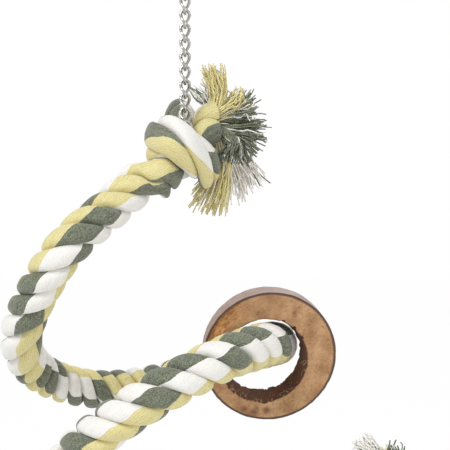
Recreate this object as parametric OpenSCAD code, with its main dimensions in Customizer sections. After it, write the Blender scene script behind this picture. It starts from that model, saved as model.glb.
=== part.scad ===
// Hanging spiral perch for cage birds: a wire-cored cotton rope bent to a spiral, knotted and
// frayed at both ends, hung by a twisted-link chain and a quick link, with a loose wooden ring.
// Origin: the seat inside the top bow of the quick link, where the cage bar lies. +Z up.

/* [Rope] */
// Diameter of the laid cotton rope
rope_d = 21; // [18:0.5:23]
// Radius of the spiral at the rope's centre line
spiral_r = 66; // [62:1:78]
// Diameter of the steel wire that keeps the spiral's shape
core_d = 2.2; // [1.8:0.1:2.8]
// Clearance between the core wire and the rope's strands
core_clearance = 0.3; // [0.2:0.05:0.6]

/* [Knots] */
// Thickness of the rope where a knot squeezes it
knot_rope_d = 12.5; // [10:0.5:12.5]
// Distance between two passes of a knot, from middle to middle
knot_pitch = 14.5; // [14:0.1:15]
// Depth of the top knot's middle below the hook of the core wire
knot_drop = 12.8; // [12.5:0.1:14]
// How far the top knot's middle lies behind the chain, which runs down between two passes
knot_back = 6; // [5.8:0.1:6.4]

/* [Tassels] */
// Length of the longest frayed yarns
tassel_l = 40; // [30:1:44]
// Greatest thickness of one bunch of frayed yarns
bunch_d = 11; // [7:0.5:11]

/* [Chain] */
// Distance from one link to the next
link_pitch = 7; // [6.5:0.1:8]
// Outside width of a link
link_w = 6; // [5.6:0.1:6.4]
// Diameter of the link wire
link_wire = 1.7; // [1.4:0.05:1.8]
// Running clearance where one wire seats in another
seat_gap = 0.15; // [0.1:0.01:0.25]

/* [Quick link] */
// Diameter of the quick link's rod
rod_d = 2.3; // [2:0.1:2.4]
// Width inside the quick link
bow_w = 8; // [7.5:0.1:11]
// Height inside the quick link
bow_h = 24; // [23:0.5:32]
// Diameter of the rod where it is threaded
thread_d = 1.8; // [1.5:0.05:1.9]
// Clearance of the nut on its thread
nut_clearance = 0.08; // [0.05:0.01:0.1]
// Length of the sleeve nut
nut_l = 7; // [6.5:0.1:7.4]
// Width of the sleeve nut across its flats
nut_af = 4.2; // [4:0.1:4.8]
// Opening between the two threaded ends
gate_gap = 3.2; // [2.8:0.1:3.6]

/* [Wooden ring] */
// Outside diameter of the branch slice, bark included
ring_d = 64; // [58:1:74]
// Thickness of the slice
ring_t = 12; // [9:0.5:14]
// Diameter of the hole at the front face
hole_front_d = 42; // [41:0.5:46]
// Diameter of the hole at the back face
hole_back_d = 38; // [37.5:0.5:41]
// Gap between the rope and the hole's edge that rests on it
ring_clearance = 0.4; // [0.3:0.1:1]
// How far the hole lies off the middle of the slice
hole_offset = 3.4; // [2:0.1:5]
// Thickness of the bark
bark_t = 0.9; // [0.6:0.1:1.6]
// How much narrower the slice is at its back
slice_taper = 1.4; // [0:0.1:2.5]

/* [Hidden] */
link_count = 13;
fine = 64;

// Colours of the three yarns and of the hard parts
cotton_white = [0.94, 0.93, 0.9];
cotton_green = [0.38, 0.41, 0.32];
cotton_yellow = [0.85, 0.8, 0.5];
bright_steel = [0.72, 0.72, 0.7];
wood_tan = [0.72, 0.53, 0.37];
bark_grey = [0.5, 0.42, 0.38];

// Vectors along a route
function unit(v) = v / norm(v);
function flat_to(v, t) = unit(v - (v * t) * t);

// One stretch of a smooth curve through four points, at the share s of the way from b to c
function curve_point(a, b, c, d, s) =
    0.5 * (2 * b + (c - a) * s + (2 * a - 5 * b + 4 * c - d) * s * s
        + (3 * b - a - 3 * c + d) * s * s * s);

// A smooth curve through all points, with some steps between each two of them
function smooth_curve(p, steps) = [
    for (i = [0 : len(p) - 2], j = [0 : steps - 1])
        curve_point(p[max(i - 1, 0)], p[i], p[i + 1], p[min(i + 2, len(p) - 1)], j / steps),
    p[len(p) - 1]
];

// Direction of a route at each of its points
function directions(p) = [
    for (i = [0 : len(p) - 1])
        unit(p[min(i + 1, len(p) - 1)] - p[max(i - 1, 0)])
];

// Normals carried along a route without twist, one for each direction
function carried(t, n, i = 0, done = []) =
    i == len(t) ? done : carried(t, flat_to(n, t[i]), i + 1, concat(done, [flat_to(n, t[i])]));

// One ring of points round a route's point
function ring_at(p, t, n, r, sides) = [
    for (k = [0 : sides - 1])
        p + r * (cos(360 * k / sides) * n + sin(360 * k / sides) * cross(t, n))
];

// All rings of a tube along a route, whose radius may change from ring to ring
function tube_rings(p, radii, sides, start = [0, 0, 1]) =
    let (t = directions(p), n = carried(t, flat_to(start, t[0])))
    [for (i = [0 : len(p) - 1]) ring_at(p[i], t[i], n[i], radii[i], sides)];

function flatten(lists) = [for (one = lists) each one];

// Triangles of the wall between two neighbouring rings
function wall_faces(i, sides, first = 0) = [
    for (k = [0 : sides - 1])
        let (a = first + i * sides + k, b = first + i * sides + (k + 1) % sides)
        each [[a, b, a + sides], [b, b + sides, a + sides]]
];

// A closed solid from a run of rings, each ring with the same number of points
module solid_tube(rings) {
    sides = len(rings[0]);
    count = len(rings);
    start_cap = [for (k = [1 : sides - 2]) [0, k + 1, k]];
    last = (count - 1) * sides;
    end_cap = [for (k = [1 : sides - 2]) [last, last + k, last + k + 1]];
    walls = [for (i = [0 : count - 2]) each wall_faces(i, sides)];
    polyhedron(
        points = flatten(rings),
        faces = turned(concat(start_cap, end_cap, walls)),
        convexity = 8
    );
}

// Faces seen clockwise from outside, as polyhedron wants them
function turned(faces) = [for (f = faces) [f[0], f[2], f[1]]];

// A closed ring-shaped solid, whose last ring joins its first
module endless_tube(rings) {
    sides = len(rings[0]);
    count = len(rings);
    total = count * sides;
    walls = [
        for (i = [0 : count - 1], f = wall_faces(i, sides))
            [for (v = f) v % total]
    ];
    polyhedron(points = flatten(rings), faces = turned(walls), convexity = 8);
}

// A pipe: outer rings with inner rings of as many points, open at both ends
module pipe(outer, inner) {
    sides = len(outer[0]);
    count = len(outer);
    first_in = count * sides;
    out_walls = [for (i = [0 : count - 2]) each wall_faces(i, sides)];
    in_walls = [for (i = [0 : count - 2]) each wall_faces(i, sides, first_in)];
    caps = [
        for (end = [0, count - 1], k = [0 : sides - 1])
            let (
                a = end * sides + k,
                b = end * sides + (k + 1) % sides,
                c = first_in + a,
                d = first_in + b,
                lid = [[a, c, b], [b, c, d]]
            )
            each (end == 0 ? lid : turned(lid))
    ];
    polyhedron(
        points = concat(flatten(outer), flatten(inner)),
        faces = turned(concat(out_walls, turned(in_walls), caps)),
        convexity = 8
    );
}

// Quick link: a bent rod in the YZ plane, its gate on the +Y side
shoulder_share = 0.3;
stub_share = 0.55;
chamfer_share = 0.12;
bow_r = (bow_w + rod_d) / 2;
top_bow_z = rod_d / 2 - bow_r;
bottom_bow_z = -bow_h - rod_d / 2 + bow_r;
shoulder_l = rod_d * shoulder_share;
stub_l = (nut_l - gate_gap) * stub_share;
nut_z = bottom_bow_z + shoulder_l;
gate_low_z = nut_z + stub_l;
gate_high_z = gate_low_z + gate_gap;
chamfer = rod_d * chamfer_share;

module half_bow(up) {
    rotate([90, 0, 90])
        rotate([0, 0, up ? 0 : 180])
            rotate_extrude(angle = 180, $fn = fine)
                translate([bow_r, 0])
                    circle(d = rod_d, $fn = fine / 2);
}

module rod(low, high, d) {
    translate([0, 0, low])
        cylinder(d = d, h = high - low, $fn = fine);
}

module quick_link() {
    color(bright_steel) {
        translate([0, 0, top_bow_z]) half_bow(true);
        translate([0, 0, bottom_bow_z]) half_bow(false);
        translate([0, -bow_r, 0]) rod(bottom_bow_z, top_bow_z, rod_d);
        translate([0, bow_r, 0]) {
            rod(bottom_bow_z, nut_z, rod_d);
            rod(nut_z, gate_low_z, thread_d);
            rod(gate_high_z, top_bow_z - shoulder_l, thread_d);
            rod(top_bow_z - shoulder_l, top_bow_z, rod_d);
        }
    }
}

// Sleeve nut: a hexagon with turned ends and a bore that runs on the thread
module sleeve_nut() {
    nut_r = nut_af / sqrt(3);
    color(bright_steel)
        translate([0, bow_r, nut_z + seat_gap])
            difference() {
                intersection() {
                    cylinder(r = nut_r, h = nut_l, $fn = 6);
                    union() {
                        cylinder(r1 = nut_r - chamfer, r2 = nut_r, h = chamfer, $fn = fine);
                        translate([0, 0, chamfer])
                            cylinder(r = nut_r, h = nut_l - 2 * chamfer, $fn = fine);
                        translate([0, 0, nut_l - chamfer])
                            cylinder(r1 = nut_r, r2 = nut_r - chamfer, h = chamfer, $fn = fine);
                    }
                }
                translate([0, 0, -chamfer])
                    cylinder(d = thread_d + 2 * nut_clearance, h = nut_l + 2 * chamfer, $fn = fine);
            }
}

// Chain: each link's top bow lies in the XZ plane and its bottom bow in the YZ plane
link_half = (link_pitch + link_wire + seat_gap) / 2;
link_r = (link_w - link_wire) / 2;
link_straight = link_half - link_r;
first_link_z = -bow_h - rod_d / 2 + (rod_d + link_wire) / 2 + seat_gap - link_half;
bow_steps = 6;
leg_steps = 4;
link_sides = 8;

// Turn of the link's plane at a height: none in the top bow, a quarter turn in the bottom one
function link_turn(z) =
    let (s = min(max((link_straight - z) / (2 * link_straight), 0), 1))
    90 * s * s * (3 - 2 * s);

// The flat oval before its twist: distance from the middle line, and height
function oval() = concat(
    [for (k = [0 : bow_steps - 1]) let (a = 180 * k / bow_steps)
        [link_r * cos(a), link_straight + link_r * sin(a)]],
    [for (k = [0 : leg_steps - 1])
        [-link_r, link_straight - 2 * link_straight * k / leg_steps]],
    [for (k = [0 : bow_steps - 1]) let (a = 180 + 180 * k / bow_steps)
        [link_r * cos(a), -link_straight + link_r * sin(a)]],
    [for (k = [0 : leg_steps - 1])
        [link_r, -link_straight + 2 * link_straight * k / leg_steps]]
);

function link_rings() =
    let (
        flat = oval(),
        n = len(flat),
        p = [for (q = flat) let (a = link_turn(q[1])) [q[0] * cos(a), q[0] * sin(a), q[1]]]
    )
    [
        for (i = [0 : n - 1])
            let (
                t = unit(p[(i + 1) % n] - p[(i + n - 1) % n]),
                a = link_turn(p[i][2]),
                side = flat_to([-sin(a), cos(a), 0], t)
            )
            ring_at(p[i], t, side, link_wire / 2, link_sides)
    ];

module chain_link(i) {
    color(bright_steel)
        translate([0, 0, first_link_z - i * link_pitch])
            endless_tube(link_rings());
}

function link_name(i) = str("link_", i < 9 ? "0" : "", i + 1);

// Eye of the core wire, which the last link hangs in
last_link_z = first_link_z - (link_count - 1) * link_pitch;
eye_r = link_wire + core_d / 2 + seat_gap;
eye_top_z = last_link_z - link_half + (link_wire + core_d) / 2 + seat_gap;
eye_z = eye_top_z - eye_r;

// Overhand knot: half of its route, from the middle of the knot outwards, in shares of the
// distance between its passes; the other half is the same, turned half round the knot's Y axis
knot_half_shares = [
    [0, 0.95, 0], [-0.75, 0.85, 0.25], [-1.35, 0.4, 0.35], [-1.5, -0.3, 0.1],
    [-1.05, -0.9, -0.25], [-0.3, -0.95, -0.5], [0.35, -0.5, -0.4],
    [0.6, -0.05, 0.1], [0.95, 0.1, 0.6], [1.6, 0.25, 0.85]
];
half_count = len(knot_half_shares);
knot_route_shares = concat(
    [for (i = [half_count - 1 : -1 : 1]) knot_half_shares[i]],
    [for (q = knot_half_shares) [-q[0], q[1], -q[2]]]
);
// Each knot's own X and Y directions, its hand, and how it is pulled narrow, deep and tall
top_knot_x_share = [0.7, 0.72, 0.02];
top_knot_y_share = [0.68, -0.65, -0.33];
bottom_knot_x_share = [-0.62, 0.5, -0.6];
bottom_knot_y_share = [0.3, 0.85, 0.3];
top_knot_hand = -1;
bottom_knot_hand = 1;
top_squeeze_share = [0.7, 1.08, 1.25];
bottom_squeeze_share = [0.77, 1.1, 1.12];
knot_z = eye_top_z - knot_drop;
knot_centre = [0, knot_back, knot_z];

function knot_route(centre, x_way, y_way, hand) =
    let (ex = unit(x_way), ey = flat_to(y_way, ex), ez = hand * cross(ex, ey))
    [for (q = knot_route_shares) centre + knot_pitch * (q[0] * ex + q[1] * ey + q[2] * ez)];

// The spiral in shares of its radius: the rope's way out of the top knot, then a station every
// twelfth of a turn, each with its distance from the spiral's upright axis and its height
knot_exit_shares = [[-0.33, -0.17, -0.27], [-0.53, -0.27, -0.46]];
axis_share = [-0.26, -0.1];
first_turn = -150;
station_turn = -30;
radius_shares = [
    0.73, 0.96, 1.04, 1.02, 0.98, 0.95, 0.93, 0.95, 0.92, 0.94,
    0.95, 0.88, 0.74, 0.62, 0.56, 0.60, 0.74, 1.02, 1.42
];
height_shares = [
    -0.82, -1.40, -1.76, -1.94, -1.90, -1.73, -1.58, -1.48, -1.45, -1.54,
    -1.79, -2.14, -2.47, -2.74, -2.93, -3.07, -3.15, -3.18, -3.13
];
bottom_knot_share = [1.43, -0.18, -2.95];

function station(i) =
    let (a = first_turn + i * station_turn)
    [
        axis_share[0] + radius_shares[i] * cos(a),
        axis_share[1] + radius_shares[i] * sin(a),
        height_shares[i]
    ];
spiral_shares = concat(knot_exit_shares, [for (i = [0 : len(radius_shares) - 1]) station(i)]);
spiral_top = [0, 0, knot_z];
bottom_knot_centre = spiral_top + spiral_r * bottom_knot_share;

// The whole rope from its upper cut end to its lower one, with some rings between two points
steps = 4;
rope_sides = 12;
rope_route = smooth_curve(
    concat(
        knot_route(knot_centre, top_knot_x_share, top_knot_y_share, top_knot_hand),
        [for (q = spiral_shares) spiral_top + spiral_r * q],
        knot_route(
            bottom_knot_centre, bottom_knot_x_share, bottom_knot_y_share, bottom_knot_hand
        )
    ),
    steps
);
last_ring = len(rope_route) - 1;
knot_points = len(knot_route_shares);
top_seam = knot_points * steps + 1;
bottom_seam = last_ring - knot_points * steps - 1;

// 1 inside a knot, 0 along the spiral, and in between over some rings
fade_rings = 6;
function eased(s) = s * s * (3 - 2 * s);
function knot_share(i) =
    let (from_top = (top_seam - 1 - i) / fade_rings, from_bottom = (i - bottom_seam - 1) / fade_rings)
    eased(min(max(from_top, from_bottom, 0), 1));
function rope_radius(i) =
    (knot_share(i) * knot_rope_d + (1 - knot_share(i)) * rope_d) / 2;

rope_directions = directions(rope_route);
rope_normals = carried(rope_directions, [0, 0, 1]);

// Pulls a point of a knot narrow, about the knot's middle
function squeezed(p, i) =
    let (
        at_top = i < last_ring / 2,
        c = at_top ? knot_centre : bottom_knot_centre,
        pull = at_top ? top_squeeze_share : bottom_squeeze_share,
        s = knot_share(i)
    )
    c + [for (k = [0 : 2]) (p - c)[k] * (1 + s * (pull[k] - 1))];

function rope_ring(i, r) = [
    for (q = ring_at(rope_route[i], rope_directions[i], rope_normals[i], r, rope_sides))
        squeezed(q, i)
];
function rope_rings(first, last) = [for (i = [first : last]) rope_ring(i, rope_radius(i))];
function rope_middle(i) = squeezed(rope_route[i], i);

// Least distance between the points of rings that lie a long way apart along a tube
function ring_gap(a, b) = min([for (p = a, q = b) norm(p - q)]);
function least_gap(rings, apart, near) = min([
    for (i = [0 : len(rings) - 1 - apart], j = [i + apart : len(rings) - 1])
        if (norm(rings[i][0] - rings[j][0]) < near)
            ring_gap(rings[i], rings[j])
]);

module top_knot() {
    color(cotton_yellow)
        solid_tube(rope_rings(0, top_seam));
}

module bottom_knot() {
    color(cotton_yellow)
        solid_tube(rope_rings(bottom_seam, last_ring));
}

module rope_spiral() {
    color(cotton_white)
        pipe(
            rope_rings(top_seam, bottom_seam),
            [for (i = [top_seam : bottom_seam]) rope_ring(i, core_d / 2 + core_clearance)]
        );
}

// Core wire: a hook for the last link, then down through the heart of the top knot and on
// along the rope's middle to the lower knot
wire_sides = 8;
buried_rings = 13;
lead_in_steps = 2;
heart_share = [-0.038, 0.012, 0.012];
wire_normal = [1, 0, 0];
module core_wire() {
    way_down = [
        [0, 0, eye_z - eye_r],
        [0, 0, eye_z - 2 * eye_r],
        spiral_top + spiral_r * heart_share
    ];
    in_rope = [for (i = [top_seam - buried_rings : bottom_seam - 1]) rope_middle(i)];
    lead_in = smooth_curve(concat(way_down, [in_rope[0]]), lead_in_steps);
    route = concat(lead_in, [for (i = [1 : len(in_rope) - 1]) in_rope[i]]);
    color(bright_steel) {
        solid_tube(tube_rings(route, [for (p = route) core_d / 2], wire_sides, wire_normal));
        translate([0, 0, eye_z])
            rotate([90, 0, 0])
                rotate_extrude($fn = fine)
                    translate([eye_r, 0])
                        circle(d = core_d, $fn = fine / 2);
    }
}

// A bunch of frayed yarn: it starts thin at the rope's cut end, swells and thins to its tip
bunch_sides = 8;
bunch_steps = 2;
bunch_thickness_shares = [0.16, 0.5, 1, 0.85, 0.4];
bunch_start_share = 0.28;
bunch_off_share = 0.085;
bunch_bend_share = 0.4;
bunch_normal = [0.3, 1, 0.2];

// Its tip is given in shares of the yarns' length, from the middle of the rope's cut end
module bunch(end, way, tip_share, thick_share, rise_share) {
    root = end
        + knot_rope_d * bunch_off_share * way
        + knot_rope_d * bunch_start_share * flat_to(tip_share, way);
    tip = end + tassel_l * tip_share;
    middle = root + bunch_bend_share * (tip - root) + bunch_d * rise_share * way;
    route = smooth_curve([root, middle, tip], bunch_steps);
    radii = bunch_d * thick_share * bunch_thickness_shares / 2;
    solid_tube(tube_rings(route, radii, bunch_sides, bunch_normal));
}

// Each tassel's end of the rope, and the way that the squeezed rope's cut face looks
function cut_way(way, pull) = unit([for (k = [0 : 2]) way[k] / pull[k]]);
top_end = rope_middle(0);
top_way = cut_way(-rope_directions[0], top_squeeze_share);
bottom_end = rope_middle(last_ring);
bottom_way = cut_way(rope_directions[last_ring], bottom_squeeze_share);

// Every bunch of a colour as its tip, its thickness and how far it rises before it bends
top_white_shares = [[[-0.29, 0.35, 0.5], 0.6, 0.4], [[0.4, 0.6, -0.85], 0.85, 0.4]];
top_green_shares = [[[0.75, 0.2, 0.06], 0.75, 0.4]];
top_yellow_shares = [
    [[-0.04, 0, 0.72], 0.8, 0.4], [[0.36, 0.05, 0.36], 0.7, 0.4],
    [[-0.1, -0.14, -1.12], 0.55, 0.8]
];
bottom_white_shares = [[[-0.38, 0.08, 0.72], 0.85, 0.4], [[0.66, 0.16, 0.42], 0.85, 0.4]];
bottom_green_shares = [[[-0.02, -0.5, 0.68], 0.85, 0.4]];
bottom_yellow_shares = [[[0.58, -0.42, 0.34], 0.85, 0.4], [[-0.1, 0.62, 0.4], 0.8, 0.4]];

module tassel_colour(end, way, shares) {
    for (q = shares)
        bunch(end, way, q[0], q[1], q[2]);
}

module top_tassel_white() {
    color(cotton_white) tassel_colour(top_end, top_way, top_white_shares);
}

module top_tassel_green() {
    color(cotton_green) tassel_colour(top_end, top_way, top_green_shares);
}

module top_tassel_yellow() {
    color(cotton_yellow) tassel_colour(top_end, top_way, top_yellow_shares);
}

module bottom_tassel_white() {
    color(cotton_white) tassel_colour(bottom_end, bottom_way, bottom_white_shares);
}

module bottom_tassel_green() {
    color(cotton_green) tassel_colour(bottom_end, bottom_way, bottom_green_shares);
}

module bottom_tassel_yellow() {
    color(cotton_yellow) tassel_colour(bottom_end, bottom_way, bottom_yellow_shares);
}

// Wooden ring: a slice of a branch with an off-centre hole, hanging in balance on the rope
ring_station = 7;
ring_step = 2;
ring_point = (knot_points + len(knot_exit_shares) + ring_station) * steps + ring_step;
ring_lean = 14;
ring_yaw = 6;
hole_swing = 36.5;
hole_way_share = [0.84, 0.54];
hole_r = (hole_front_d + hole_back_d) / 4;
// The rope crosses the slice aslant, which makes its cut across the hole this much wider
slant_share = 0.065;
hole_drop = hole_r - rope_d / 2 - rope_d * slant_share - ring_clearance;

module slice_frame() {
    translate(rope_route[ring_point] - hole_drop * [sin(hole_swing), 0, cos(hole_swing)])
        rotate([90 + ring_lean, 0, ring_yaw])
            children();
}

// The branch's outline, narrower at the back, about its own middle
module branch(d) {
    translate([hole_offset * hole_way_share[0], hole_offset * hole_way_share[1], 0])
        cylinder(d1 = d - slice_taper, d2 = d, h = ring_t, center = true, $fn = fine);
}

module wood_ring() {
    over_share = 0.1;
    over = ring_t * over_share;
    grow = (hole_front_d - hole_back_d) * over_share / 2;
    color(wood_tan)
        slice_frame()
            difference() {
                branch(ring_d - 2 * bark_t);
                cylinder(
                    d1 = hole_back_d - grow,
                    d2 = hole_front_d + grow,
                    h = ring_t + over,
                    center = true,
                    $fn = fine
                );
            }
}

module bark_rim() {
    color(bark_grey)
        slice_frame()
            difference() {
                branch(ring_d);
                branch(ring_d - 2 * bark_t);
            }
}

// Least gap of each wound part to itself, measured on the points of its rings
apart_rings = 10;
spiral_apart_rings = 20;
knot_near = 2 * knot_pitch;
spiral_near = 4 * rope_d;
echo(least_gap_of_top_knot = least_gap(rope_rings(0, top_seam), apart_rings, knot_near));
echo(least_gap_of_bottom_knot =
    least_gap(rope_rings(bottom_seam, last_ring), apart_rings, knot_near));
echo(least_gap_of_spiral =
    least_gap(rope_rings(top_seam, bottom_seam), spiral_apart_rings, spiral_near));
echo(ring_axis_at = rope_route[ring_point], ring_axis = rope_directions[ring_point]);

quick_link();
sleeve_nut();
for (i = [0 : link_count - 1])
    chain_link(i);
core_wire();
rope_spiral();
top_knot();
bottom_knot();
top_tassel_white();
top_tassel_green();
top_tassel_yellow();
bottom_tassel_white();
bottom_tassel_green();
bottom_tassel_yellow();
wood_ring();
bark_rim();
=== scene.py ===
import bpy
import math
import random
import numpy as np
from mathutils import Matrix, Vector, noise


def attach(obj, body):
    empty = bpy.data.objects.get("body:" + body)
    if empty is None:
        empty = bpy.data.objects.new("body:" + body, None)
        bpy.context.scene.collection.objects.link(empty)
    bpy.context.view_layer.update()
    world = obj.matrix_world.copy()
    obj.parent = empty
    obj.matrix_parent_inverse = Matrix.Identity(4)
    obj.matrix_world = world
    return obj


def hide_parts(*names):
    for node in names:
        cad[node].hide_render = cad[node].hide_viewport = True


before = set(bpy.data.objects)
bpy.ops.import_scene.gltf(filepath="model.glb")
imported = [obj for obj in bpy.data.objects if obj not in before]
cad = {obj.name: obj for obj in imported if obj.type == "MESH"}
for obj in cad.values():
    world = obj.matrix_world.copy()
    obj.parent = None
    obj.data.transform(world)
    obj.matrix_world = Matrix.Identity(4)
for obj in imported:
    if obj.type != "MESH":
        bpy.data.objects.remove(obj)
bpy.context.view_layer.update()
bpy.ops.object.select_all(action="DESELECT")

# The studio
# The perch hangs freely in front of white. The camera looks level at it from the front, about
# 600 mm away, with the chain a little left of the middle, as in the photograph.
EYE = Vector((0.020, -0.600, -0.1655))
HALF_FRAME = 0.1125
FLOOR_Z = -0.46
FLOOR_WHITE = 0.985
SOFT_LIGHT = 0.62
bpy.ops.object.camera_add(location=EYE, rotation=(math.radians(90), 0, 0))
camera = bpy.context.object
camera.name = "studio_camera"
camera.data.angle = 2 * math.atan(HALF_FRAME / abs(EYE.y))
camera.data.clip_start = 0.01
bpy.context.scene.camera = camera
bpy.context.scene.view_settings.view_transform = "Standard"


def studio_lamp(name, place, size, power):
    bpy.ops.object.light_add(type="AREA", location=place)
    lamp = bpy.context.object
    lamp.name = name
    lamp.data.size = size
    lamp.data.energy = power
    to_middle = Vector((0.0, 0.0, -0.2)) - Vector(place)
    lamp.rotation_euler = to_middle.to_track_quat("-Z", "Y").to_euler()


# Place in metres, edge length and watts of each lamp
studio_lamp("key_lamp", (-0.7, -0.9, 0.75), 0.6, 11)
studio_lamp("fill_lamp", (1.0, -0.8, -0.1), 0.9, 4)
studio_lamp("back_lamp", (0.3, 1.0, 0.5), 0.8, 5)


def white_where_seen(nodes, links, shader, strength):
    """Joins a shader with plain white light for the rays that show the background."""
    path = nodes.new("ShaderNodeLightPath")
    seen = path.outputs["Is Camera Ray"]
    for ray in ("Is Glossy Ray", "Is Transmission Ray"):
        either = nodes.new("ShaderNodeMath")
        either.operation = "MAXIMUM"
        links.new(seen, either.inputs[0])
        links.new(path.outputs[ray], either.inputs[1])
        seen = either.outputs[0]
    share = nodes.new("ShaderNodeMath")
    share.operation = "MULTIPLY"
    share.inputs[1].default_value = strength
    links.new(seen, share.inputs[0])
    mix = nodes.new("ShaderNodeMixShader")
    links.new(share.outputs[0], mix.inputs[0])
    links.new(shader.outputs[0], mix.inputs[1])
    return mix


world = bpy.data.worlds.new("white_studio")
bpy.context.scene.world = world
world.use_nodes = True
world_nodes = world.node_tree.nodes
world_links = world.node_tree.links
world_nodes.clear()
soft_light = world_nodes.new("ShaderNodeBackground")
soft_light.inputs["Color"].default_value = (1, 1, 1, 1)
soft_light.inputs["Strength"].default_value = SOFT_LIGHT
seen_white = world_nodes.new("ShaderNodeBackground")
seen_white.inputs["Color"].default_value = (1, 1, 1, 1)
world_mix = white_where_seen(world_nodes, world_links, soft_light, 1.0)
world_links.new(seen_white.outputs[0], world_mix.inputs[2])
world_out = world_nodes.new("ShaderNodeOutputWorld")
world_links.new(world_mix.outputs[0], world_out.inputs["Surface"])

bpy.ops.mesh.primitive_plane_add(size=12, location=(0, 0, FLOOR_Z))
floor = bpy.context.object
floor.name = "studio_floor"
bpy.ops.object.transform_apply(location=True)
floor_paint = bpy.data.materials.new("floor_paint")
floor_paint.use_nodes = True
paint_nodes = floor_paint.node_tree.nodes
paint_links = floor_paint.node_tree.links
paint_nodes.clear()
pale = paint_nodes.new("ShaderNodeBsdfDiffuse")
pale.inputs["Color"].default_value = (0.86, 0.86, 0.86, 1)
bright = paint_nodes.new("ShaderNodeEmission")
bright.inputs["Color"].default_value = (1, 1, 1, 1)
paint_mix = white_where_seen(paint_nodes, paint_links, pale, FLOOR_WHITE)
paint_links.new(bright.outputs[0], paint_mix.inputs[2])
paint_out = paint_nodes.new("ShaderNodeOutputMaterial")
paint_links.new(paint_mix.outputs[0], paint_out.inputs["Surface"])
floor.data.materials.append(floor_paint)

# The rope's way
# One rope of three-colour cotton runs from its upper frayed end through an overhand knot, down
# the spiral and through a second knot. A steel wire in its heart keeps the spiral's shape. The
# way is the one that the solids follow, in metres.
ROPE_D = 0.021
SPIRAL_R = 0.066
KNOT_ROPE_D = 0.0125
KNOT_PITCH = 0.0145
HOOK_Z = -0.11375
KNOT_DROP = 0.0128
KNOT_BACK = 0.006
STEPS = 4
FADE_RINGS = 6
# Half a knot about its middle, in shares of the pitch; the other half mirrors it
KNOT_HALF = [
    (0, 0.95, 0), (-0.75, 0.85, 0.25), (-1.35, 0.4, 0.35), (-1.5, -0.3, 0.1),
    (-1.05, -0.9, -0.25), (-0.3, -0.95, -0.5), (0.35, -0.5, -0.4),
    (0.6, -0.05, 0.1), (0.95, 0.1, 0.6), (1.6, 0.25, 0.85),
]
TOP_KNOT_X = (0.7, 0.72, 0.02)
TOP_KNOT_Y = (0.68, -0.65, -0.33)
BOTTOM_KNOT_X = (-0.62, 0.5, -0.6)
BOTTOM_KNOT_Y = (0.3, 0.85, 0.3)
TOP_SQUEEZE = np.array((0.7, 1.08, 1.25))
BOTTOM_SQUEEZE = np.array((0.77, 1.1, 1.12))
KNOT_EXIT = [(-0.33, -0.17, -0.27), (-0.53, -0.27, -0.46)]
AXIS = (-0.26, -0.1)
# The spiral, every 30 degrees: distance from its axis and height, in shares of its radius
STATION_RADIUS = [
    0.73, 0.96, 1.04, 1.02, 0.98, 0.95, 0.93, 0.95, 0.92, 0.94,
    0.95, 0.88, 0.74, 0.62, 0.56, 0.60, 0.74, 1.02, 1.42,
]
STATION_HEIGHT = [
    -0.82, -1.40, -1.76, -1.94, -1.90, -1.73, -1.58, -1.48, -1.45, -1.54,
    -1.79, -2.14, -2.47, -2.74, -2.93, -3.07, -3.15, -3.18, -3.13,
]
BOTTOM_KNOT = (1.43, -0.18, -2.95)

spiral_top = np.array((0, 0, HOOK_Z - KNOT_DROP))
top_knot_middle = spiral_top + np.array((0, KNOT_BACK, 0))
bottom_knot_middle = spiral_top + SPIRAL_R * np.array(BOTTOM_KNOT)


def unit(v):
    v = np.array(v, float)
    return v / np.linalg.norm(v)


def flat_to(v, way):
    return unit(np.array(v, float) - np.dot(v, way) * way)


def smooth_curve(points, steps):
    """A smooth curve through all points, with some steps between each two of them."""
    p = np.array(points, float)
    out = []
    for i in range(len(p) - 1):
        a, b, c, d = p[max(i - 1, 0)], p[i], p[i + 1], p[min(i + 2, len(p) - 1)]
        for j in range(steps):
            s = j / steps
            out.append(0.5 * (2 * b + (c - a) * s + (2 * a - 5 * b + 4 * c - d) * s * s
                              + (3 * b - a - 3 * c + d) * s ** 3))
    out.append(p[-1])
    return np.array(out)


def knot_points(middle, x_way, y_way, hand):
    ex = unit(x_way)
    ey = flat_to(y_way, ex)
    ez = np.cross(ex, ey)
    shares = KNOT_HALF[:0:-1] + [(-q[0], q[1], -q[2]) for q in KNOT_HALF]
    return [middle + KNOT_PITCH * (q[0] * ex + q[1] * ey + hand * q[2] * ez) for q in shares]


stations = [
    (AXIS[0] + r * math.cos(math.radians(-150 - 30 * i)),
     AXIS[1] + r * math.sin(math.radians(-150 - 30 * i)), h)
    for i, (r, h) in enumerate(zip(STATION_RADIUS, STATION_HEIGHT))
]
way_points = (
    knot_points(top_knot_middle, TOP_KNOT_X, TOP_KNOT_Y, -1)
    + [spiral_top + SPIRAL_R * np.array(q) for q in KNOT_EXIT + stations]
    + knot_points(bottom_knot_middle, BOTTOM_KNOT_X, BOTTOM_KNOT_Y, 1)
)
route = smooth_curve(way_points, STEPS)
knot_count = 2 * len(KNOT_HALF) - 1
top_seam = knot_count * STEPS + 1
bottom_seam = len(route) - knot_count * STEPS - 2


def knot_shares(i):
    """1 inside a knot, 0 along the spiral, for an array of places along the route."""
    s = np.maximum((top_seam - 1 - i) / FADE_RINGS, (i - bottom_seam - 1) / FADE_RINGS)
    s = np.clip(s, 0, 1)
    return s * s * (3 - 2 * s)


def squeezed(points, i):
    """Pulls points of a knot narrow, about the knot's middle."""
    s = knot_shares(i)[:, None]
    at_top = (i < len(route) / 2)[:, None]
    middle = np.where(at_top, top_knot_middle, bottom_knot_middle)
    pull = np.where(at_top, TOP_SQUEEZE, BOTTOM_SQUEEZE)
    return middle + (points - middle) * (1 + s * (pull - 1))


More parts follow.
